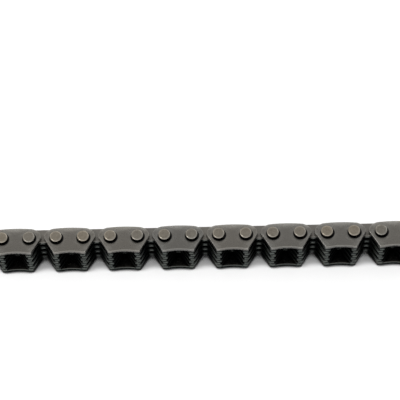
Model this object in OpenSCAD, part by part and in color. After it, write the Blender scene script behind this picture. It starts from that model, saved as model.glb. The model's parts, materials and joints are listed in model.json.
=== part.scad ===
// Run of an inverted-tooth timing chain, laid straight on its side.
// Rows of tooth plates interleave on round pins. Every second row, the guide row, also carries
// a guide plate on each face and holds its two pins. The rows between, the inner rows, turn on them.
// X runs along the chain, the teeth point to -Y, the smooth back to +Y, and the pins stand along Z.

/* [Chain] */
// Distance between neighbouring pins
pitch = 6.35; // [6:0.05:8]
// Number of guide rows in the run, with one inner row more than that
guide_rows = 8; // [2:1:8]

/* [Stack] */
// Thickness of a tooth plate
plate_t = 1.0; // [0.7:0.05:1.5]
// Thickness of a guide plate
guide_t = 1.0; // [0.6:0.05:1.5]
// Side clearance between neighbouring plates
plate_gap = 0.05; // [0.02:0.01:0.2]

/* [Pins] */
// Diameter of a pin
pin_d = 2.8; // [2.2:0.1:3.2]
// How far a pin stands out of the guide plate at each end
pin_proud = 0.7; // [0.4:0.1:1.6]
// Radius of the rounded edge at a pin's end
pin_edge_r = 0.25; // [0.1:0.05:0.6]
// Radial clearance of a pin in the tooth plates, where it turns
pin_clearance = 0.04; // [0.02:0.01:0.1]
// Radial clearance of a pin in the guide plates, where it is held
pin_seat_clearance = 0.01; // [0.005:0.005:0.02]

/* [Tooth plate] */
// Height of the straight back above the pin line
back_h = 2.75; // [2.5:0.05:3]
// Depth of the tooth tips below the pin line
tooth_depth = 4.0; // [3.7:0.05:4.3]
// Gap along the chain between the ends of two tooth plates in one layer
tooth_end_gap = 1.1; // [0.8:0.05:1.6]
// Slope of the outer, working flank from the tooth's axis
flank_angle = 30; // [26:1:33]
// Width of a tooth at its tip, before rounding
tip_w = 1.15; // [0.8:0.05:1.3]
// Rounding of the tooth tips
tip_r = 0.35; // [0.1:0.05:0.4]
// Depth of the top of the crotch below the pin line
crotch_top = 0.6; // [0.3:0.05:0.8]
// Radius of the crotch between the two teeth
crotch_r = 1.7; // [1.4:0.05:1.9]

/* [Guide plate] */
// Height of the domed back above the pin line, at mid-length
guide_back_h = 2.75; // [2.5:0.05:3]
// Radius of the domed back
guide_crown_r = 36; // [25:1:60]
// Radius of the upper corners, which run down to the shoulders
guide_corner_r = 2.6; // [2.3:0.05:2.8]
// Gap along the chain between the shoulders of neighbouring guide plates
guide_end_gap = 0.73; // [0.4:0.01:1.2]
// Depth of the lower corners below the pin line
guide_depth = 4.0; // [3.7:0.05:4.3]
// How far the lower corners lie past the pins
guide_foot_past_pin = 0.48; // [0.2:0.02:0.8]
// Rounding of the lower corners
guide_foot_r = 0.3; // [0.1:0.05:0.5]
// Width of the flat under each lower corner
guide_foot_w = 0.6; // [0.4:0.05:0.9]
// Rise of the hollow lower edge between the two flats
guide_arch_rise = 0.34; // [0.1:0.02:0.6]

/* [Hidden] */
$fn = 96;
// Arcs stand proud of the edges that they join by this much, so that the two cross cleanly
blend = 0.005;

pin_r = pin_d / 2;
layer_step = plate_t + plate_gap;
first_layer_z = pin_proud + guide_t + plate_gap;
front_guide_z = first_layer_z + 7 * layer_step;
pin_length = front_guide_z + guide_t + pin_proud;
pin_line_y = (tooth_depth - back_h) / 2;

inner_rows = guide_rows + 1;
pin_count = 2 * guide_rows;
function inner_row_x(k) = (2 * k - guide_rows - 2) * pitch;
function guide_row_x(k) = (2 * k - guide_rows - 1) * pitch;
function pin_x(k) = (k - guide_rows - 0.5) * pitch;

// Tooth layers are counted from 1, next to the rear guide plate, to 7
function layer_z(n) = first_layer_z + (n - 1) * layer_step;

// Outline of a tooth plate, about the point midway between its pins
end_x = pitch / 2 + (pitch - tooth_end_gap) / 2 - back_h;
flank_out = [cos(flank_angle), -sin(flank_angle)];
tip_outer = [(end_x * flank_out.x + back_h + tooth_depth * flank_out.y) / flank_out.x, -tooth_depth];
tip_inner = tip_outer - [tip_w, 0];
crotch_c = [0, -crotch_top - crotch_r];
crotch_touch = touch_point(crotch_c, crotch_r, tip_inner);
flank_touch = [end_x, 0] + back_h * flank_out;

// Outline of a guide plate, about the point midway between its pins
guide_half = pitch / 2 + (pitch - guide_end_gap) / 2;
crown_c = [0, guide_back_h - guide_crown_r];
corner_x = guide_half - guide_corner_r;
corner_c = [corner_x, crown_c.y + sqrt(pow(guide_crown_r - guide_corner_r, 2) - corner_x * corner_x)];
shoulder = corner_c + [guide_corner_r, 0];
crown_touch = crown_c + guide_crown_r * unit(corner_c - crown_c);
guide_foot = [pitch / 2 + guide_foot_past_pin, -guide_depth];
arch_half = guide_foot.x - guide_foot_w;
arch_r = (arch_half * arch_half + guide_arch_rise * guide_arch_rise) / (2 * guide_arch_rise);

function numbered(stem, count) = [for (k = [1 : count]) str(stem, k)];
function pin_name(k) = str("pin_", k < 10 ? "0" : "", k);

function unit(v) = v / norm(v);
function mirrored(p) = [-p.x, p.y];

// Where the line from a point just touches a circle, on the side towards +X and +Y
function touch_point(c, r, p) =
    let (d = norm(p - c), a = atan2(p.y - c.y, p.x - c.x) + acos(r / d))
    c + r * [cos(a), sin(a)];

// Centre of a corner's rounding, and where the rounding meets the edge towards another point
function round_centre(p, a, b, r) =
    let (ea = unit(a - p), eb = unit(b - p))
    p + r * (ea + eb) / abs(cross(ea, eb));
function round_end(p, a, c) = p + unit(a - p) * ((c - p) * unit(a - p));

module disc(c, r) {
    translate(c) circle(r);
}

module disc_pair(c, r) {
    disc(c, r);
    disc(mirrored(c), r);
}

module both_sides() {
    children();
    mirror([1, 0]) children();
}

module pin_holes(r) {
    disc_pair([pitch / 2, 0], r);
}

// The space between the two teeth: straight inner flanks under a round top
module crotch(inner_end, tip_end) {
    right_side = [crotch_touch, inner_end, tip_end, tip_end - [0, tip_w]];
    left_side = [for (i = [3 : -1 : 0]) mirrored(right_side[i])];
    polygon(concat(right_side, left_side));
    disc(crotch_c, crotch_r + blend);
}

module tooth_plate_outline() {
    outer_c = round_centre(tip_outer, flank_touch, tip_inner, tip_r);
    inner_c = round_centre(tip_inner, tip_outer, crotch_touch, tip_r);
    flank_end = round_end(tip_outer, flank_touch, outer_c);
    tip_start = round_end(tip_outer, tip_inner, outer_c);
    tip_end = round_end(tip_inner, tip_outer, inner_c);
    inner_end = round_end(tip_inner, crotch_touch, inner_c);
    right_side = [tip_start, flank_end, flank_touch, [end_x, back_h]];
    left_side = [for (i = [3 : -1 : 0]) mirrored(right_side[i])];
    difference() {
        polygon(concat(right_side, left_side));
        crotch(inner_end, tip_end);
    }
    both_sides() {
        difference() {
            disc([end_x, 0], back_h + blend);
            crotch(inner_end, tip_end);
        }
        disc(outer_c, tip_r + blend);
        disc(inner_c, tip_r + blend);
    }
}

// Domed back with rounded upper corners, running down past the lower edge
module guide_back() {
    skirt = 2 * guide_depth;
    translate([-guide_half, corner_c.y - skirt]) square([2 * guide_half, skirt]);
    disc_pair(corner_c, guide_corner_r + blend);
    intersection() {
        disc(crown_c, guide_crown_r);
        translate([-crown_touch.x, -guide_depth]) square([2 * crown_touch.x, guide_depth + 2 * guide_back_h]);
    }
}

// The back is cut along straight flanks through the shoulders, down to rounded lower corners
module guide_plate_outline() {
    foot_c = round_centre(guide_foot, shoulder, [0, guide_foot.y], guide_foot_r);
    foot_side = round_end(guide_foot, shoulder, foot_c);
    foot_under = round_end(guide_foot, [0, guide_foot.y], foot_c);
    past_back = 2 * shoulder - guide_foot;
    right_side = [foot_under, foot_side, past_back];
    left_side = [for (i = [2 : -1 : 0]) mirrored(right_side[i])];
    difference() {
        union() {
            intersection() {
                polygon(concat(right_side, left_side));
                guide_back();
            }
            disc_pair(foot_c, guide_foot_r + blend);
        }
        disc([0, guide_foot.y + guide_arch_rise - arch_r], arch_r);
    }
}

module tooth_plate() {
    linear_extrude(plate_t) difference() {
        tooth_plate_outline();
        pin_holes(pin_r + pin_clearance);
    }
}

module guide_plate() {
    linear_extrude(guide_t) difference() {
        guide_plate_outline();
        pin_holes(pin_r + pin_seat_clearance);
    }
}

// One tooth plate in each of the layers listed
module tooth_plates(x, layers) {
    for (n = layers) translate([x, pin_line_y, layer_z(n)]) tooth_plate();
}

module front_guide_plate(k) {
    color([0.40, 0.39, 0.37]) translate([guide_row_x(k), pin_line_y, front_guide_z]) guide_plate();
}

module rear_guide_plate(k) {
    color([0.40, 0.39, 0.37]) translate([guide_row_x(k), pin_line_y, pin_proud]) guide_plate();
}

module guide_row_tooth_plates(k) {
    color([0.33, 0.33, 0.33]) tooth_plates(guide_row_x(k), [2, 4, 6]);
}

module inner_row_outer_plates(k) {
    color([0.36, 0.36, 0.35]) tooth_plates(inner_row_x(k), [1, 7]);
}

module inner_row_middle_plates(k) {
    color([0.33, 0.33, 0.33]) tooth_plates(inner_row_x(k), [3, 5]);
}

// A plain round pin with rounded end edges
module pin(k) {
    flat_r = pin_r - pin_edge_r;
    color([0.50, 0.48, 0.43]) translate([pin_x(k), pin_line_y, 0]) rotate_extrude() intersection() {
        square([pin_r, pin_length]);
        union() {
            polygon([
                [0, 0], [flat_r, 0], [pin_r, pin_edge_r],
                [pin_r, pin_length - pin_edge_r], [flat_r, pin_length], [0, pin_length]
            ]);
            disc([flat_r, pin_edge_r], pin_edge_r + blend);
            disc([flat_r, pin_length - pin_edge_r], pin_edge_r + blend);
        }
    }
}

for (k = [1 : guide_rows]) {
    front_guide_plate(k);
    rear_guide_plate(k);
    guide_row_tooth_plates(k);
}
for (k = [1 : inner_rows]) {
    inner_row_outer_plates(k);
    inner_row_middle_plates(k);
}
for (k = [1 : pin_count]) {
    pin(k);
}
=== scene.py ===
import bpy
import json
import math
from mathutils import Matrix, Vector


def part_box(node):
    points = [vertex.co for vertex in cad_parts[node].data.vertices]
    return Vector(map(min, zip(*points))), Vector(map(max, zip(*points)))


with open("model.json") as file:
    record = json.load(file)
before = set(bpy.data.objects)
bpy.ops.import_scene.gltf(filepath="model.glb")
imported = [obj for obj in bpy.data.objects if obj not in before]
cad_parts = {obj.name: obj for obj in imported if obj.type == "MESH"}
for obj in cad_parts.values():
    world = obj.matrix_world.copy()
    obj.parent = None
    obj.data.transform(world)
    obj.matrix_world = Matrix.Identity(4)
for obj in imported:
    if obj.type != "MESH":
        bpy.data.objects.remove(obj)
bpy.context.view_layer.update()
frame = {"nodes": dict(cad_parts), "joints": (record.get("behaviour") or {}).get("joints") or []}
scene = bpy.context.scene
scene.view_settings.view_transform = "Standard"
mm = 0.001

# sizes read from the frame
chainNodes = frame["nodes"]
pivots = [Vector(joint["pos_m"]) for joint in frame["joints"]]
pivotXs = sorted(p.x for p in pivots)
pitch = (pivotXs[-1] - pivotXs[0]) / (len(pivotXs) - 1)
pinLineY = pivots[0].y
guideLinkX = (pivotXs[0] + pivotXs[1]) / 2          # middle of the first guide link
rearGuideLow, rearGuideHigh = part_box("rear_guide_plate_1")
frontGuideLow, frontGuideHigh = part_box("front_guide_plate_1")
middleZ = (rearGuideLow.z + frontGuideHigh.z) / 2
plateThickness = rearGuideHigh.z - rearGuideLow.z
layerSteps = 8                                      # seven tooth plates lie between the guide plates
layerStep = (frontGuideLow.z - rearGuideLow.z) / layerSteps
pinLow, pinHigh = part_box("pin_01")
pinRadius = (pinHigh.x - pinLow.x) / 2
print("frame:", len(chainNodes), "nodes, pitch %.3f mm, plates %.2f mm" % (pitch / mm, plateThickness / mm))


# camera, found from the pins and plate corners that the photo shows

cameraView = {
    "elevation": 58.633,                            # degrees above the table
    "roll": -1.1776,                                # the run tilts a little in the picture
    "distance": 418.87 * mm,
    "lens": 159.08, "sensor": 36,                   # in millimetres, square picture
    "clip": (0.01, 10),
    "aim": (-0.994 * mm, pinLineY + 9.49 * mm, frontGuideHigh.z),
}


def addCamera(view):
    tilt, roll = math.radians(view["elevation"]), math.radians(view["roll"])
    forward = Vector((0, math.cos(tilt), -math.sin(tilt)))
    side = Vector((1, 0, 0))
    above = side.cross(forward)
    right = side * math.cos(roll) + above * math.sin(roll)
    up = above * math.cos(roll) - side * math.sin(roll)
    data = bpy.data.cameras.new("photoCamera")
    data.lens = view["lens"]
    data.sensor_width = view["sensor"]
    data.clip_start, data.clip_end = view["clip"]
    camera = bpy.data.objects.new("photoCamera", data)
    turn = Matrix((right, up, -forward)).transposed().to_4x4()
    camera.matrix_world = Matrix.Translation(Vector(view["aim"]) - forward * view["distance"]) @ turn
    scene.collection.objects.link(camera)
    scene.camera = camera


addCamera(cameraView)
print("camera: lens %.1f mm, %.0f mm away" % (cameraView["lens"], cameraView["distance"] / mm))


# helpers for node trees

mixSockets = {"RGBA": (6, 7, 2), "VECTOR": (4, 5, 1)}  # inputs A and B and the output, by the Mix node's kind


def addNode(tree, kind, **settings):
    node = tree.nodes.new(kind)
    for name, value in settings.items():
        setattr(node, name, value)
    return node


def plug(tree, source, target):                     # source is an output socket or a plain value
    if hasattr(source, "is_output"):
        tree.links.new(source, target)
    else:
        target.default_value = source


def calc(tree, operation, *values):
    node = addNode(tree, "ShaderNodeMath", operation=operation)
    for value, socket in zip(values, node.inputs):
        plug(tree, value, socket)
    return node.outputs[0]


def ramp(tree, value, low, high, toLow=0.0, toHigh=1.0):
    node = addNode(tree, "ShaderNodeMapRange", interpolation_type="SMOOTHSTEP")
    for item, socket in zip((value, low, high, toLow, toHigh), node.inputs):
        plug(tree, item, socket)
    return node.outputs[0]


def mix(tree, kind, factor, a, b, **settings):
    socketA, socketB, result = mixSockets[kind]
    node = addNode(tree, "ShaderNodeMix", data_type=kind, **settings)
    plug(tree, factor, node.inputs[0])
    plug(tree, a, node.inputs[socketA])
    plug(tree, b, node.inputs[socketB])
    return node.outputs[result]


def mixColour(tree, factor, a, b, **settings):      # plain colours get full alpha
    a, b = [colour if hasattr(colour, "is_output") else (*colour, 1) for colour in (a, b)]
    return mix(tree, "RGBA", factor, a, b, **settings)


def noise(tree, place, scale, detail=3.0, rough=0.55):
    node = addNode(tree, "ShaderNodeTexNoise")
    for name, value in (("Vector", place), ("Scale", scale), ("Detail", detail), ("Roughness", rough)):
        plug(tree, value, node.inputs[name])
    return node.outputs["Fac"]


def splitXyz(tree, vector):
    node = addNode(tree, "ShaderNodeSeparateXYZ")
    tree.links.new(vector, node.inputs[0])
    return node.outputs


def vectorCalc(tree, operation, *values):
    node = addNode(tree, "ShaderNodeVectorMath", operation=operation)
    for value, socket in zip(values, node.inputs):
        plug(tree, value, socket)
    return node.outputs["Value" if operation == "DOT_PRODUCT" else "Vector"]


def newGroup(name, inputs, outputs, kind="ShaderNodeTree"):
    tree = bpy.data.node_groups.new(name, kind)
    for label, socketType in inputs:
        tree.interface.new_socket(label, in_out="INPUT", socket_type="NodeSocket" + socketType)
    for label, socketType in outputs:
        tree.interface.new_socket(label, in_out="OUTPUT", socket_type="NodeSocket" + socketType)
    return tree, tree.nodes.new("NodeGroupInput").outputs, tree.nodes.new("NodeGroupOutput").inputs


def placeGroup(tree, group, **values):
    node = addNode(tree, "ShaderNodeGroup", node_tree=group)
    for label, value in values.items():
        plug(tree, value, node.inputs[label])
    return node.outputs


def pinAxisDistance(tree, place, shift=(0.0, 0.0)):  # from the axis of whichever pin is nearest
    spot = splitXyz(tree, place)
    along = calc(tree, "SUBTRACT", spot["X"], pivotXs[0] + shift[0])
    along = calc(tree, "WRAP", along, pitch / 2, -pitch / 2)
    across = calc(tree, "SUBTRACT", spot["Y"], pinLineY + shift[1])
    squares = [calc(tree, "MULTIPLY", v, v) for v in (along, across)]
    return calc(tree, "SQRT", calc(tree, "ADD", *squares))


# shared finishes as shader groups

tumbleRule = {                                      # mottle, fine dents and hairlines from barrel tumbling
    "cloud": (4.0, 0.6), "grain": (3.0, 0.7),       # detail and roughness of the two noises
    "tone": (0.32, 0.68),                           # their mean where the steel is dull and where bright
    "hairAngles": (0.6, 2.1), "hairTilt": (0.3, 0.2),  # two crossing sets, in radians
    "hairStretch": (1, 14, 6),                      # draws them out along their length
    "hairScale": 1100.0, "hairNoise": (2.0, 0.5), "hairs": (0.60, 0.70), "hairDepth": 0.3,
}


def makeTumbledSteel(rule):
    tree, given, out = newGroup(
        "tumbledSteel",
        [("Place", "Vector"), ("Mottle", "Float"), ("Grain", "Float")],
        [("Tone", "Float"), ("Hairline", "Float"), ("Height", "Float")])
    cloud = noise(tree, given["Place"], given["Mottle"], *rule["cloud"])
    grain = noise(tree, given["Place"], given["Grain"], *rule["grain"])
    tone = calc(tree, "MULTIPLY", calc(tree, "ADD", cloud, grain), 0.5)
    hairs = []
    for angle in rule["hairAngles"]:
        turn = addNode(tree, "ShaderNodeMapping")
        turn.inputs["Rotation"].default_value = (*rule["hairTilt"], angle)
        turn.inputs["Scale"].default_value = rule["hairStretch"]
        tree.links.new(given["Place"], turn.inputs[0])
        streaks = noise(tree, turn.outputs[0], rule["hairScale"], *rule["hairNoise"])
        hairs.append(ramp(tree, streaks, *rule["hairs"]))
    hairline = calc(tree, "MAXIMUM", *hairs)
    groove = calc(tree, "MULTIPLY", hairline, rule["hairDepth"])
    plug(tree, ramp(tree, tone, *rule["tone"]), out["Tone"])
    plug(tree, hairline, out["Hairline"])
    plug(tree, calc(tree, "SUBTRACT", grain, groove), out["Height"])
    return tree


rimWearAndHighlightRule = {                                        # rims that sliding on the rails has worn round, painted lighter still as a highlight
    "turned": (0.98, 0.84),                         # cosine between face and rounded rim, plain and worn
    "lean": 0.7,                                    # share of the sideways turn taken off the turn backwards
    "back": (0.02, 0.16), "feet": (0.10, 0.30),     # parts of the normal where they begin and are full
    "patchScale": 1600.0, "patchNoise": (3.0, 0.6), "patch": (0.36, 0.6), "patchLeast": 0.35,
}


def makeWornRimHighlight(rule):                              # Mask marks worn backs painted lighter as a highlight, Feet the corners below the flanks, where a glint is painted
    tree, given, out = newGroup(
        "wornRimHighlight",
        [("Place", "Vector"), ("Reach", "Float"), ("Ease", "Float"), ("Sides", "Float")],
        [("Mask", "Float"), ("Feet", "Float"), ("Normal", "Vector")])
    plain = addNode(tree, "ShaderNodeNewGeometry").outputs["Normal"]
    bevel = addNode(tree, "ShaderNodeBevel", samples=8)
    plug(tree, given["Reach"], bevel.inputs["Radius"])
    rounded = bevel.outputs[0]
    rim = ramp(tree, vectorCalc(tree, "DOT_PRODUCT", rounded, plain), *rule["turned"])
    local = addNode(tree, "ShaderNodeVectorTransform", vector_type="NORMAL",
                    convert_from="WORLD", convert_to="OBJECT")
    tree.links.new(rounded, local.inputs[0])
    lean = splitXyz(tree, local.outputs[0])
    sideways = calc(tree, "ABSOLUTE", lean["X"])
    upright = calc(tree, "SUBTRACT", lean["Y"], calc(tree, "MULTIPLY", sideways, rule["lean"]))
    back = ramp(tree, upright, *rule["back"], given["Sides"], 1.0)
    downward = calc(tree, "MULTIPLY", lean["Y"], -1.0)
    feet = ramp(tree, calc(tree, "MINIMUM", sideways, downward), *rule["feet"])
    patches = noise(tree, given["Place"], rule["patchScale"], *rule["patchNoise"])
    wearAndHighlight = calc(tree, "MULTIPLY", rim, ramp(tree, patches, *rule["patch"], rule["patchLeast"], 1.0))
    plug(tree, calc(tree, "MULTIPLY", wearAndHighlight, back), out["Mask"])
    plug(tree, calc(tree, "MULTIPLY", wearAndHighlight, feet), out["Feet"])
    eased = mix(tree, "VECTOR", calc(tree, "MULTIPLY", given["Ease"], back), plain, rounded)
    plug(tree, vectorCalc(tree, "NORMALIZE", eased), out["Normal"])
    return tree


recessShadeRule = {                                         # painted shade: surfaces darkened where ambient occlusion finds corners and recesses between pieces
    "patchScale": 1300.0, "uneven": 0.25,
}


def makeRecessShade(rule):
    tree, given, out = newGroup(
        "recessShade",
        [("Place", "Vector"), ("Reach", "Float"), ("Open", "Float"), ("Closed", "Float")],
        [("Mask", "Float")])
    shade = addNode(tree, "ShaderNodeAmbientOcclusion", samples=8)
    plug(tree, given["Reach"], shade.inputs["Distance"])
    patches = calc(tree, "SUBTRACT", noise(tree, given["Place"], rule["patchScale"]), 0.5)
    depth = calc(tree, "ADD", shade.outputs["AO"], calc(tree, "MULTIPLY", patches, rule["uneven"]))
    plug(tree, ramp(tree, depth, given["Open"], given["Closed"]), out["Mask"])
    return tree


shearRule = {                                       # punched edge: smooth for a part of its height, then torn
    "waveScale": 2600.0, "wave": 1.6,               # how the border wanders, in shares of the height
    "soft": 0.12,
}


def makeShearedEdge(rule):
    tree, given, out = newGroup(
        "shearedEdge",
        [("Place", "Vector"), ("Normal", "Vector"), ("TornShare", "Float"), ("TornSide", "Float"),
         ("RimFrom", "Float"), ("RimFull", "Float"), ("FlankFrom", "Float"), ("FlankFull", "Float")],
        [("Edge", "Float"), ("Flank", "Float"), ("Torn", "Float")])
    slope = splitXyz(tree, given["Normal"])
    sideways, upward = [calc(tree, "ABSOLUTE", slope[axis]) for axis in ("X", "Z")]
    plug(tree, ramp(tree, upward, given["RimFrom"], given["RimFull"]), out["Edge"])
    plug(tree, ramp(tree, sideways, given["FlankFrom"], given["FlankFull"]), out["Flank"])
    height = calc(tree, "SUBTRACT", splitXyz(tree, given["Place"])["Z"], rearGuideLow.z)
    share = calc(tree, "DIVIDE", calc(tree, "WRAP", height, layerStep, 0.0), plateThickness)
    share = calc(tree, "ABSOLUTE", calc(tree, "SUBTRACT", share, given["TornSide"]))
    waves = calc(tree, "SUBTRACT", noise(tree, given["Place"], rule["waveScale"]), 0.5)
    border = calc(tree, "ADD", share, calc(tree, "MULTIPLY", waves, rule["wave"]))
    gap = calc(tree, "SUBTRACT", given["TornShare"], border)
    plug(tree, ramp(tree, gap, -rule["soft"], rule["soft"]), out["Torn"])
    return tree


tintRule = {                                        # no two pieces have quite the same temper colour
    "cool": (0.86, 0.88, 0.91), "warm": (1.12, 1.06, 0.99),
}


def makePieceTint(rule):
    tree, given, out = newGroup(
        "pieceTint",
        [("Colour", "Color"), ("Amount", "Float")],
        [("Colour", "Color")])
    chance = addNode(tree, "ShaderNodeObjectInfo").outputs["Random"]
    temper = mixColour(tree, chance, rule["cool"], rule["warm"])
    tinted = mixColour(tree, given["Amount"], given["Colour"], temper, blend_type="MULTIPLY")
    plug(tree, tinted, out["Colour"])
    return tree


tumbledSteel = makeTumbledSteel(tumbleRule)
wornRimHighlight = makeWornRimHighlight(rimWearAndHighlightRule)
recessShade = makeRecessShade(recessShadeRule)
shearedEdge = makeShearedEdge(shearRule)
pieceTint = makePieceTint(tintRule)
print("shader groups:", ", ".join(g.name for g in bpy.data.node_groups))


# steel of the plates

guidePlateLook = {
    "dull": (0.138, 0.131, 0.118), "bright": (0.172, 0.164, 0.149),  # mottled tone of the faces
    "mottle": 1100.0, "grain": 5200.0,              # noise scales of the mottle and the dents
    # flank is a painted highlight: the side walls lighter than the faces
    "burnished": (0.138, 0.134, 0.125), "flank": (0.24, 0.235, 0.22), "torn": (0.022, 0.022, 0.021),
    "tornShare": 0.25, "tornSide": 0.0,             # share of the edge, from its lower (0) or upper (1) side
    "rimTurn": (0.75, 0.45),                        # upward part of the normal where a rim becomes edge
    "flankTurn": (0.45, 0.75),                      # sideways part of it where an edge becomes flank
    "rubbedHighlight": (0.163, 0.160, 0.148),                # worn backs, painted lighter as a highlight
    "rimReach": 3.0 * mm, "rimEase": 0.40, "rimSides": 0.1,  # width, softness and share of the other rims
    "footGlint": (0.25, 0.245, 0.228),                # painted glint on the corners below the flanks
    # painted shade in corners and recesses, from ambient occlusion
    "paintedShade": (0.008, 0.008, 0.008), "shadeReach": 0.6 * mm,
    "shadeOutside": (0.56, 0.36), "shadeInside": (0.56, 0.36),  # openness of faces where the painted shade begins and is full
    "shadeEdge": (0.35, 0.15),                        # the same of edges
    "pinShadowShift": (0.12 * mm, -0.20 * mm),          # painted shadow of each pin, cast to one side on the face
    "pinShadowReach": (0.38 * mm, 0.18 * mm),           # past the pin, where the painted shadow begins and is full
    "rough": (0.26, 0.36), "hairRough": 0.08, "dents": 0.20, "tint": 0.4,
    "slant": 0.9,                                   # share of a clean metal's shine at a low angle
}
shadedRearGuideLook = {                                   # painted shade: a darker copy of the guide steel for the plates beside the table
    **guidePlateLook,
    "burnished": (0.043, 0.051, 0.049), "flank": (0.012, 0.013, 0.013), "torn": (0.003, 0.004, 0.004),
    "tornShare": 0.60, "rubbedHighlight": (0.045, 0.048, 0.046), "footGlint": (0.045, 0.048, 0.046), "slant": 0.45,
    "paintedShade": (0.002, 0.0024, 0.0024), "shadeReach": 6.0 * mm,
    "shadeOutside": (0.62, 0.30), "shadeInside": (0.62, 0.30), "shadeEdge": (0.62, 0.30),
}
toothPlateLook = {
    "dull": (0.142, 0.135, 0.123), "bright": (0.176, 0.168, 0.153),
    "mottle": 1100.0, "grain": 5200.0,
    # flank is painted shade: the tooth flanks nearly black
    "burnished": (0.115, 0.126, 0.118), "flank": (0.006, 0.007, 0.007), "torn": (0.018, 0.020, 0.020),
    "frontHighlight": (0.150, 0.146, 0.136),                 # painted highlight on the edges of the foremost plates
    "frontHighlightAbove": (-3.2 * mm, -2.4 * mm),           # from the pin line, where that begins and is full
    "unshadedBelow": (-2.1 * mm, -3.8 * mm),            # the same for flanks left without the painted shade, as light as the other edges
    "unshadedBeyond": (-0.35 * mm, 0.25 * mm),          # and from the pins into the spaces between guide plates
    "tornShare": 0.42, "tornSide": 1.0,
    "rimTurn": (0.97, 0.80), "flankTurn": (0.12, 0.38),
    "rubbedHighlight": (0.17, 0.165, 0.152), "rimReach": 0.3 * mm, "rimEase": 0.3, "rimSides": 1.0,
    # painted shade between the tooth plates, strongest in the inner layers
    "paintedShade": (0.002, 0.0024, 0.0024), "shadeReach": 4.0 * mm,
    "shadeOutside": (0.50, 0.28), "shadeInside": (0.90, 0.60), "shadeEdge": (0.46, 0.20),
    "rough": (0.40, 0.52), "hairRough": 0.08, "dents": 0.20, "tint": 0.4, "slant": 0.45,
}
outerLayer = [steps * layerStep for steps in (2.8, 3.2)]  # from the middle, within the outermost tooth plates
dentDepth = 0.01 * mm


def startSteel(name):
    material = bpy.data.materials.new(name)
    material.use_nodes = True
    tree = material.node_tree
    shader = tree.nodes["Principled BSDF"]
    shader.inputs["Metallic"].default_value = 1.0
    coords = addNode(tree, "ShaderNodeTexCoord").outputs
    return material, tree, shader, coords["Object"], coords["Normal"]


def finishSteel(tree, shader, look, colour, roughness, normal, height):
    shader.inputs["Specular Tint"].default_value = (*[look["slant"]] * 3, 1)
    tree.links.new(colour, shader.inputs["Base Color"])
    tree.links.new(roughness, shader.inputs["Roughness"])
    bump = addNode(tree, "ShaderNodeBump")
    bump.inputs["Strength"].default_value = look["dents"]
    bump.inputs["Distance"].default_value = dentDepth
    tree.links.new(height, bump.inputs["Height"])
    tree.links.new(normal, bump.inputs["Normal"])
    tree.links.new(bump.outputs[0], shader.inputs["Normal"])


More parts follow.
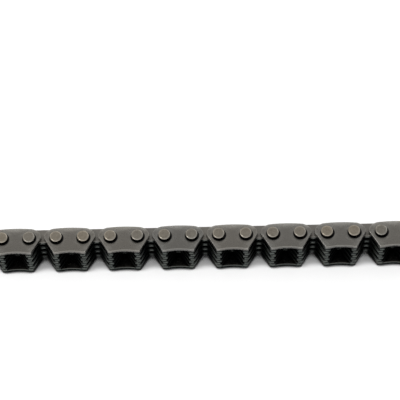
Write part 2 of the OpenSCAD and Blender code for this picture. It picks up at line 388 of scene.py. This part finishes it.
def makePlateSteel(name, look):
    material, tree, shader, place, normal = startSteel(name)
    spot = splitXyz(tree, place)
    tumbled = placeGroup(tree, tumbledSteel, Place=place, Mottle=look["mottle"], Grain=look["grain"])
    rim = placeGroup(tree, wornRimHighlight, Place=place, Reach=look["rimReach"], Ease=look["rimEase"],
                     Sides=look["rimSides"])
    side = placeGroup(tree, shearedEdge, Place=place, Normal=normal, TornShare=look["tornShare"],
                      TornSide=look["tornSide"], RimFrom=look["rimTurn"][0], RimFull=look["rimTurn"][1],
                      FlankFrom=look["flankTurn"][0], FlankFull=look["flankTurn"][1])
    height = calc(tree, "SUBTRACT", spot["Z"], middleZ)
    inside = ramp(tree, calc(tree, "ABSOLUTE", height), *reversed(outerLayer))
    limits = []
    for outsideLimit, insideLimit, edgeLimit in zip(look["shadeOutside"], look["shadeInside"], look["shadeEdge"]):
        faceLimit = ramp(tree, inside, 0.0, 1.0, outsideLimit, insideLimit)
        limits.append(ramp(tree, side["Edge"], 0.0, 1.0, faceLimit, edgeLimit))
    # painted shade where ambient occlusion finds a recess
    paintedShade = placeGroup(tree, recessShade, Place=place, Reach=look["shadeReach"], Open=limits[0], Closed=limits[1])
    shadeMask = paintedShade["Mask"]
    # painted shadow of each pin, cast to one side on the face
    if "pinShadowShift" in look:
        around = pinAxisDistance(tree, place, look["pinShadowShift"])
        pinShadow = ramp(tree, around, *[pinRadius + reach for reach in look["pinShadowReach"]])
        shadeMask = calc(tree, "MAXIMUM", shadeMask, pinShadow)
    face = mixColour(tree, tumbled["Tone"], look["dull"], look["bright"])
    edge = mixColour(tree, side["Torn"], look["burnished"], look["torn"])
    # painted highlight on the edges of the foremost plates
    if "frontHighlight" in look:
        front = ramp(tree, height, *outerLayer)
        above = ramp(tree, spot["Y"], *[pinLineY + level for level in look["frontHighlightAbove"]])
        edge = mixColour(tree, calc(tree, "MULTIPLY", front, above), edge, look["frontHighlight"])
    # flanks get the painted shade except near the tips in the open spaces between guide plates
    flank = side["Flank"]
    if "unshadedBelow" in look:
        below = ramp(tree, spot["Y"], *[pinLineY + level for level in look["unshadedBelow"]])
        fromLink = calc(tree, "WRAP", calc(tree, "SUBTRACT", spot["X"], guideLinkX), pitch, -pitch)
        fromLink = calc(tree, "ABSOLUTE", fromLink)
        beyond = ramp(tree, fromLink, *[pitch / 2 + reach for reach in look["unshadedBeyond"]])
        shadedFlank = calc(tree, "SUBTRACT", 1.0, calc(tree, "MULTIPLY", below, beyond))
        flank = calc(tree, "MULTIPLY", flank, shadedFlank)
    edge = mixColour(tree, flank, edge, look["flank"])
    colour = mixColour(tree, side["Edge"], face, edge)
    # worn rims painted lighter as a highlight
    rimHighlight = calc(tree, "MULTIPLY", rim["Mask"], calc(tree, "SUBTRACT", 1.0, side["Edge"]))
    colour = mixColour(tree, rimHighlight, colour, look["rubbedHighlight"])
    # painted glint on the corners below the flanks
    if "footGlint" in look:
        colour = mixColour(tree, rim["Feet"], colour, look["footGlint"])
    colour = placeGroup(tree, pieceTint, Colour=colour, Amount=look["tint"])["Colour"]
    colour = mixColour(tree, shadeMask, colour, look["paintedShade"])
    smooth, coarse = look["rough"]
    roughness = ramp(tree, tumbled["Tone"], 0.0, 1.0, coarse, smooth)
    roughness = calc(tree, "ADD", roughness, calc(tree, "MULTIPLY", tumbled["Hairline"], look["hairRough"]))
    finishSteel(tree, shader, look, colour, roughness, rim["Normal"], tumbled["Height"])
    return material


guideSteel = makePlateSteel("tumbledGuideSteel", guidePlateLook)
rearGuideSteel = makePlateSteel("shadedRearGuideSteel", shadedRearGuideLook)
toothSteel = makePlateSteel("blankedToothSteel", toothPlateLook)


# steel of the pins

pinLook = {
    "dull": (0.155, 0.140, 0.116), "bright": (0.252, 0.231, 0.193),
    "mottle": 1000.0, "grain": 5200.0,
    "rubbedHighlight": (0.37, 0.36, 0.335), "rimReach": 0.45 * mm, "rimEase": 0.75, "rimSides": 1.0,
    # painted shade on the pin walls beside the plates
    "paintedShade": (0.004, 0.004, 0.004), "shadeReach": 3.0 * mm, "wallShade": (1.0, 0.62),
    "wallTurn": (0.22, 0.05),                       # upward part of the normal where an end becomes wall
    "rough": (0.32, 0.45), "dents": 0.35, "tint": 1.0, "slant": 0.45,
    "turning": 0.16 * mm, "turningDepth": 0.2,      # spacing and height of the turning marks on the ends
    "highlightShift": (-0.20 * mm, 0.12 * mm),           # ends are painted brighter away from here, as a highlight
    "highlightReach": (-0.30 * mm, 0.05 * mm), "wearAndHighlight": 0.28,
}


def makePinSteel(name, look):
    material, tree, shader, place, normal = startSteel(name)
    tumbled = placeGroup(tree, tumbledSteel, Place=place, Mottle=look["mottle"], Grain=look["grain"])
    rim = placeGroup(tree, wornRimHighlight, Place=place, Reach=look["rimReach"], Ease=look["rimEase"],
                     Sides=look["rimSides"])
    paintedShade = placeGroup(tree, recessShade, Place=place, Reach=look["shadeReach"], Open=look["wallShade"][0],
                     Closed=look["wallShade"][1])
    wall = ramp(tree, calc(tree, "ABSOLUTE", splitXyz(tree, normal)["Z"]), *look["wallTurn"])
    colour = mixColour(tree, tumbled["Tone"], look["dull"], look["bright"])
    # painted highlight on one side of each pin end
    around = pinAxisDistance(tree, place, look["highlightShift"])
    wearAndHighlight = ramp(tree, around, *[pinRadius + reach for reach in look["highlightReach"]], 0.0, look["wearAndHighlight"])
    colour = mixColour(tree, calc(tree, "MAXIMUM", rim["Mask"], wearAndHighlight), colour, look["rubbedHighlight"])
    colour = placeGroup(tree, pieceTint, Colour=colour, Amount=look["tint"])["Colour"]
    # painted shade on the walls, where ambient occlusion finds the plates close
    colour = mixColour(tree, calc(tree, "MULTIPLY", wall, paintedShade["Mask"]), colour, look["paintedShade"])
    smooth, coarse = look["rough"]
    roughness = ramp(tree, tumbled["Tone"], 0.0, 1.0, coarse, smooth)
    radius = pinAxisDistance(tree, place)
    marks = calc(tree, "SINE", calc(tree, "MULTIPLY", radius, 2 * math.pi / look["turning"]))
    height = calc(tree, "ADD", tumbled["Height"], calc(tree, "MULTIPLY", marks, look["turningDepth"]))
    finishSteel(tree, shader, look, colour, roughness, rim["Normal"], height)
    return material


pinSteel = makePinSteel("groundPinSteel", pinLook)
print("materials:", ", ".join(m.name for m in (guideSteel, rearGuideSteel, toothSteel, pinSteel)))


# rolled rims of the punched plates

rimRule = {
    "guide": 0.28 * mm, "guideSides": 0.12 * mm,    # rounding of guide plates' backs and hollows, and sides
    "sideTurn": (0.45, 0.80),                       # sideways part of the outline's normal between those two
    "other": 0.10 * mm,                             # rounding of all other rims
    "steps": 4,
    "holeMargin": 0.15 * mm,                        # pin holes keep a crisp rim
    "flatFrom": 0.5,                                # upward part of a flat face's normal
    "sharpest": 50,                                 # degrees between faces that are shaded apart
    "flattest": 0.5,                                # degrees between faces that are joined to one
    "weld": 0.0005 * mm,                            # distance of points that are joined to one
}


def makeRolledRims(rule):                           # rings of faces between the walls and the flat faces
    tree, given, out = newGroup(
        "rolledRims", [("Plate", "Geometry")], [("Plate", "Geometry")], "GeometryNodeTree")
    place = addNode(tree, "GeometryNodeInputPosition").outputs[0]
    normal = addNode(tree, "GeometryNodeInputNormal").outputs[0]
    away = calc(tree, "GREATER_THAN", pinAxisDistance(tree, place), pinRadius + rule["holeMargin"])
    depth = calc(tree, "ABSOLUTE", calc(tree, "SUBTRACT", splitXyz(tree, place)["Z"], middleZ))
    outer = calc(tree, "GREATER_THAN", depth, frontGuideHigh.z - plateThickness / 2 - middleZ)
    level = vectorCalc(tree, "NORMALIZE", vectorCalc(tree, "MULTIPLY", normal, (1, 1, 0)))
    sideways = calc(tree, "ABSOLUTE", splitXyz(tree, level)["X"])
    guideRoll = ramp(tree, sideways, *rule["sideTurn"], rule["guide"], rule["guideSides"])
    roll = calc(tree, "MULTIPLY", away, ramp(tree, outer, 0.0, 1.0, rule["other"], guideRoll))
    mesh = given["Plate"]
    moves = []
    for label, mask, sign in (("rimInset", (1, 1, 0), -1.0), ("rimRise", (0, 0, 1), 1.0)):
        direction = vectorCalc(tree, "NORMALIZE", vectorCalc(tree, "MULTIPLY", normal, mask))
        move = vectorCalc(tree, "MULTIPLY", direction, calc(tree, "MULTIPLY", roll, sign))
        store = addNode(tree, "GeometryNodeStoreNamedAttribute", data_type="FLOAT_VECTOR", domain="POINT")
        store.inputs["Name"].default_value = label
        tree.links.new(mesh, store.inputs["Geometry"])
        tree.links.new(move, store.inputs["Value"])
        mesh = store.outputs[0]
        kept = addNode(tree, "GeometryNodeInputNamedAttribute", data_type="FLOAT_VECTOR")
        kept.inputs["Name"].default_value = label
        moves.append(kept.outputs["Attribute"])
    upward = calc(tree, "ABSOLUTE", splitXyz(tree, normal)["Z"])
    flat = calc(tree, "GREATER_THAN", upward, rule["flatFrom"])
    inset, rise = 0.0, 1.0
    for step in range(rule["steps"] + 1):           # the rim drops to the end of the roll, then climbs it
        angle = math.pi / 2 * step / rule["steps"]
        across, up = 1 - math.cos(angle), math.sin(angle)
        if step:
            ring = addNode(tree, "GeometryNodeExtrudeMesh", mode="FACES")
            ring.inputs["Individual"].default_value = False
            ring.inputs["Offset Scale"].default_value = 0.0
            tree.links.new(mesh, ring.inputs["Mesh"])
            tree.links.new(flat, ring.inputs["Selection"])
            mesh, flat = ring.outputs["Mesh"], ring.outputs["Top"]
        shift = addNode(tree, "GeometryNodeSetPosition")
        tree.links.new(mesh, shift.inputs["Geometry"])
        if step:
            tree.links.new(flat, shift.inputs["Selection"])
        parts = [vectorCalc(tree, "MULTIPLY", move, (size, size, size))
                 for move, size in zip(moves, (across - inset, up - rise))]
        tree.links.new(vectorCalc(tree, "ADD", *parts), shift.inputs["Offset"])
        mesh = shift.outputs[0]
        inset, rise = across, up
    merge = addNode(tree, "GeometryNodeMergeByDistance")
    merge.inputs["Distance"].default_value = rule["weld"]
    tree.links.new(mesh, merge.inputs["Geometry"])
    bend = addNode(tree, "GeometryNodeInputMeshEdgeAngle").outputs["Unsigned Angle"]
    store = addNode(tree, "GeometryNodeStoreNamedAttribute", data_type="BOOLEAN", domain="EDGE")
    store.inputs["Name"].default_value = "sharp_edge"
    tree.links.new(merge.outputs[0], store.inputs["Geometry"])
    plug(tree, calc(tree, "GREATER_THAN", bend, math.radians(rule["sharpest"])), store.inputs["Value"])
    tree.links.new(store.outputs[0], out["Plate"])
    return tree


rolledRims = makeRolledRims(rimRule)


def dressPiece(obj, material):
    obj.data.materials.clear()
    obj.data.materials.append(material)


def dressPlate(obj, material, rule):
    dressPiece(obj, material)
    weld = obj.modifiers.new("joinSeams", "WELD")
    weld.merge_threshold = rule["weld"]
    flat = obj.modifiers.new("plainFaces", "DECIMATE")
    flat.decimate_type = "DISSOLVE"
    flat.angle_limit = math.radians(rule["flattest"])
    rims = obj.modifiers.new("rolledRims", "NODES")
    rims.node_group = rolledRims
    smooth = obj.modifiers.new("faceNormals", "WEIGHTED_NORMAL")
    smooth.keep_sharp = True


for name, obj in chainNodes.items():
    if name.startswith("pin_"):
        dressPiece(obj, pinSteel)
    elif name.startswith("front_guide_plate"):
        dressPlate(obj, guideSteel, rimRule)
    elif name.startswith("rear_guide_plate"):
        dressPlate(obj, rearGuideSteel, rimRule)
    else:
        dressPlate(obj, toothSteel, rimRule)
print("dressed:", len(chainNodes), "nodes")


# table and light

tableTop = {
    "size": 1.6, "rough": 0.9,
    # the second colour is a painted shadow under and beside the chain
    "colour": (0.74, 0.74, 0.74), "paintedShadow": (0.03, 0.03, 0.03),
    "lift": 0.265,                                  # glow of the open table, to camera and reflections only
    "shadowReach": 5 * mm,
    "shadow": (0.38, 0.58),                         # openness where the glow begins and is full
    "deep": (0.24, 0.30),                           # the same for the pale colour
    "contactReach": 1.6 * mm, "contact": (0.30, 0.72),  # and for both, close to the chain
}
studioLight = {
    "zenith": 0.69, "horizon": 2.6,                 # strength of the sky overhead and at the horizon
    "low": 0.25, "high": 0.84,                      # sines of the heights between which it changes
    "side": 0.35, "front": 0.80,                    # shares of the low glow there, full behind the chain
    "turn": (0.3, 0.8),                             # sines of the turn from the side at which they change
    "lamps": [
        {"name": "leftSoftbox", "at": (-0.45, -0.12, 0.50), "size": 0.24, "power": 2.0},
    ],
}


def addTable(top):
    half = top["size"] / 2
    corners = [(-half, -half, 0), (half, -half, 0), (half, half, 0), (-half, half, 0)]
    mesh = bpy.data.meshes.new("table")
    mesh.from_pydata(corners, [], [(0, 1, 2, 3)])
    table = bpy.data.objects.new("table", mesh)
    scene.collection.objects.link(table)
    material = bpy.data.materials.new("paleTable")
    material.use_nodes = True
    tree = material.node_tree
    shader = tree.nodes["Principled BSDF"]
    shader.inputs["Roughness"].default_value = top["rough"]
    shader.inputs["Specular IOR Level"].default_value = 0.0
    shader.inputs["Emission Color"].default_value = (1, 1, 1, 1)
    path = addNode(tree, "ShaderNodeLightPath").outputs
    seen = calc(tree, "MAXIMUM", path["Is Camera Ray"], path["Is Glossy Ray"])
    openness = []
    for reach in (top["shadowReach"], top["contactReach"]):
        shade = addNode(tree, "ShaderNodeAmbientOcclusion", samples=32)
        shade.inputs["Distance"].default_value = reach
        openness.append(shade.outputs["AO"])
    # painted shadow: ambient occlusion darkens the table's colour and fades its glow near and under the chain
    contact = ramp(tree, openness[1], *top["contact"])
    pale = calc(tree, "MULTIPLY", ramp(tree, openness[0], *top["deep"]), contact)
    tree.links.new(mixColour(tree, pale, top["paintedShadow"], top["colour"]), shader.inputs["Base Color"])
    glow = calc(tree, "MULTIPLY", ramp(tree, openness[0], *top["shadow"], 0.0, top["lift"]), contact)
    tree.links.new(calc(tree, "MULTIPLY", seen, glow), shader.inputs["Emission Strength"])
    mesh.materials.append(material)


def addSky(light):
    world = bpy.data.worlds.new("studio")
    world.use_nodes = True
    tree = world.node_tree
    background = tree.nodes["Background"]
    background.inputs["Color"].default_value = (1, 1, 1, 1)
    way = addNode(tree, "ShaderNodeTexCoord").outputs["Generated"]
    level = vectorCalc(tree, "NORMALIZE", vectorCalc(tree, "MULTIPLY", way, (1, 1, 0)))
    turn = splitXyz(tree, level)["Y"]
    height = splitXyz(tree, way)["Z"]
    glow = ramp(tree, height, light["low"], light["high"], light["horizon"] - light["zenith"], 0.0)
    behind = ramp(tree, turn, *light["turn"], light["side"], 1.0)
    before = ramp(tree, calc(tree, "MULTIPLY", turn, -1.0), *light["turn"], light["side"], light["front"])
    share = calc(tree, "MAXIMUM", behind, before)
    strength = calc(tree, "ADD", calc(tree, "MULTIPLY", glow, share), light["zenith"])
    tree.links.new(strength, background.inputs["Strength"])
    scene.world = world


def addLamp(lamp):
    data = bpy.data.lights.new(lamp["name"], "AREA")
    data.shape = "DISK"
    data.size = lamp["size"]
    data.energy = lamp["power"]
    obj = bpy.data.objects.new(lamp["name"], data)
    obj.location = lamp["at"]
    obj.rotation_mode = "QUATERNION"
    obj.rotation_quaternion = (-Vector(lamp["at"])).to_track_quat("-Z", "Y")
    scene.collection.objects.link(obj)


addTable(tableTop)
addSky(studioLight)
for lamp in studioLight["lamps"]:
    addLamp(lamp)
print("stage: table, sky and", len(studioLight["lamps"]), "lamp")
